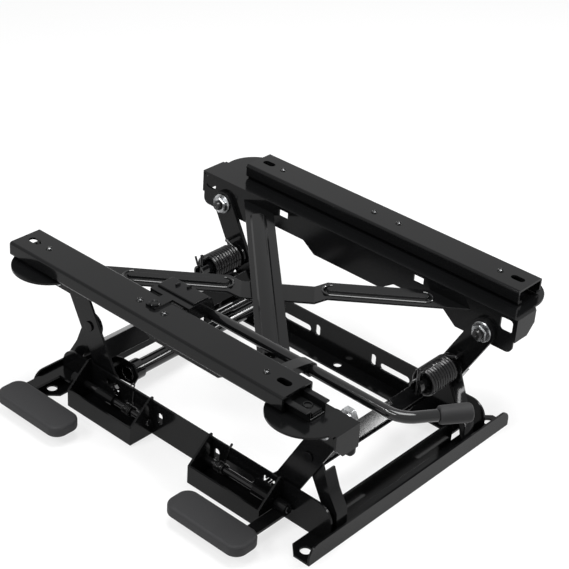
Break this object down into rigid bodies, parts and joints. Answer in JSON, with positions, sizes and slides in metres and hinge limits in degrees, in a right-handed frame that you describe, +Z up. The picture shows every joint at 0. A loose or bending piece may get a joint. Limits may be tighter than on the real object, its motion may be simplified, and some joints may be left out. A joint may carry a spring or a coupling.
{
  "type": "seat height adjuster",
  "caption": "Pressed-steel seat height adjuster: bolt-down base tray, sprung cranks and side pedals under a cross-braced frame with sliding seat rails and a release handle.",
  "frame": {"origin": "on the floor plane, at the centre of the rectangle of the floor bolt holes in the base", "axes": "+X forward, the way the seat faces and the release handle is at; +Y to the left, away from the pedals; +Z up"},
  "size_m": [0.5382, 0.4398, 0.1953],
  "materials": {
    "black_frame": "satin black electro-coat on pressed steel",
    "black_rail": "satin black electro-coat on rolled rail",
    "bright_zinc": "bright zinc plate",
    "spring_steel": "oil-blackened spring wire",
    "pedal_plastic": "matt moulded plastic",
    "grip_rubber": "matt moulded grip",
    "roller_steel": "plain steel"
  },
  "bodies": {
    "base": {"base_front": "black_frame", "base_rear": "black_frame", "base_side_left": "black_frame", "base_side_right": "black_frame", "upright_front_left": "black_frame", "upright_front_right": "black_frame", "upright_rear_left": "black_frame", "upright_rear_right": "black_frame", "rear_cross_tube": "black_frame", "tube_bracket": "black_frame", "lock_box_front": "black_frame", "lock_box_rear": "black_frame", "pivot_pins": "black_frame", "pivot_spacers": "black_frame", "mandrel_front": "black_frame", "mandrel_rear": "black_frame", "anchor_rods": "bright_zinc", "lift_spring_front": "spring_steel", "lift_spring_rear": "spring_steel", "pedal_springs": "spring_steel"},
    "front_bolts": {"front_pivot_bolts": "bright_zinc", "front_right_nut": "bright_zinc", "front_right_sleeves": "bright_zinc"},
    "upper_frame": {"side_frame_left": "black_frame", "side_frame_right": "black_frame", "brace_long": "black_frame", "brace_cross": "black_frame", "lower_rail_left": "black_rail", "lower_rail_right": "black_rail", "rear_pivot_bolts": "bright_zinc", "rear_right_nut": "bright_zinc", "rear_right_sleeves": "bright_zinc", "rail_rollers": "roller_steel"},
    "front_crank": {"crank_front_left": "black_frame", "crank_front_right": "black_frame", "crank_channel_front": "black_frame", "front_left_nut": "bright_zinc"},
    "rear_crank": {"crank_rear_left": "black_frame", "crank_rear_right": "black_frame", "crank_channel_rear": "black_frame", "rear_left_nut": "bright_zinc"},
    "right_rail": {"upper_rail_right": "black_rail", "rail_rivets_right": "black_rail", "latch_cover": "black_frame", "handle_clip": "black_frame", "latch_spring": "spring_steel"},
    "left_rail": {"upper_rail_left": "black_rail", "rail_rivets_left": "black_rail"},
    "handle": {"handle_bar": "black_frame", "handle_grip": "grip_rubber", "lock_plate": "black_frame"},
    "front_pedal": {"pedal_pin_front": "bright_zinc", "pedal_arm_front": "black_frame", "pedal_pad_front": "pedal_plastic", "pawl_front": "black_frame"},
    "rear_pedal": {"pedal_pin_rear": "bright_zinc", "pedal_arm_rear": "black_frame", "pedal_pad_rear": "pedal_plastic", "pawl_rear": "black_frame"}
  },
  "joints": [
    {"name": "front_height", "type": "hinge", "parent": "base", "child": "front_bolts", "pos_m": [-0.1947, 0, 0.145], "axis": [0, 1, 0], "range_deg": [0, 4.12], "stiffness_Nm_per_rad": 45, "springref_deg": -22.92},
    {"name": "rear_height", "type": "hinge", "parent": "front_bolts", "child": "upper_frame", "pos_m": [0.1947, 0, 0.145], "axis": [0, -1, 0], "range_deg": [0, 4.12], "stiffness_Nm_per_rad": 45, "springref_deg": -22.92},
    {"name": "front_crank_turn", "type": "hinge", "parent": "base", "child": "front_crank", "pos_m": [0.164, 0, 0.088], "axis": [0, 1, 0], "range_deg": [0, 18.4], "deforming": ["lift_spring_front"]},
    {"name": "rear_crank_turn", "type": "hinge", "parent": "base", "child": "rear_crank", "pos_m": [-0.164, 0, 0.088], "axis": [0, -1, 0], "range_deg": [0, 18.4], "deforming": ["lift_spring_rear"]},
    {"name": "right_rail_slide", "type": "slide", "parent": "upper_frame", "child": "right_rail", "axis": [1, 0, 0], "range_m": [-0.0684, 0.1316]},
    {"name": "left_rail_slide", "type": "slide", "parent": "upper_frame", "child": "left_rail", "axis": [1, 0, 0], "range_m": [-0.1108, 0.0892]},
    {"name": "handle_lift", "type": "hinge", "parent": "right_rail", "child": "handle", "pos_m": [0, -0.108, 0.1728], "axis": [1, 0, 0], "range_deg": [0, 8], "stiffness_Nm_per_rad": 1.5, "springref_deg": -17.19},
    {"name": "front_pedal_press", "type": "hinge", "parent": "base", "child": "front_pedal", "pos_m": [0.085, -0.142, 0.021], "axis": [1, 0, 0], "range_deg": [0, 8], "stiffness_Nm_per_rad": 0.9, "springref_deg": -22.92},
    {"name": "rear_pedal_press", "type": "hinge", "parent": "base", "child": "rear_pedal", "pos_m": [-0.085, -0.142, 0.021], "axis": [1, 0, 0], "range_deg": [0, 8], "stiffness_Nm_per_rad": 0.9, "springref_deg": -22.92}
  ],
  "couplings": [
    {"joint": "front_crank_turn", "follows": "front_height", "ratio": 4.44},
    {"joint": "rear_crank_turn", "follows": "rear_height", "ratio": 4.44}
  ]
}
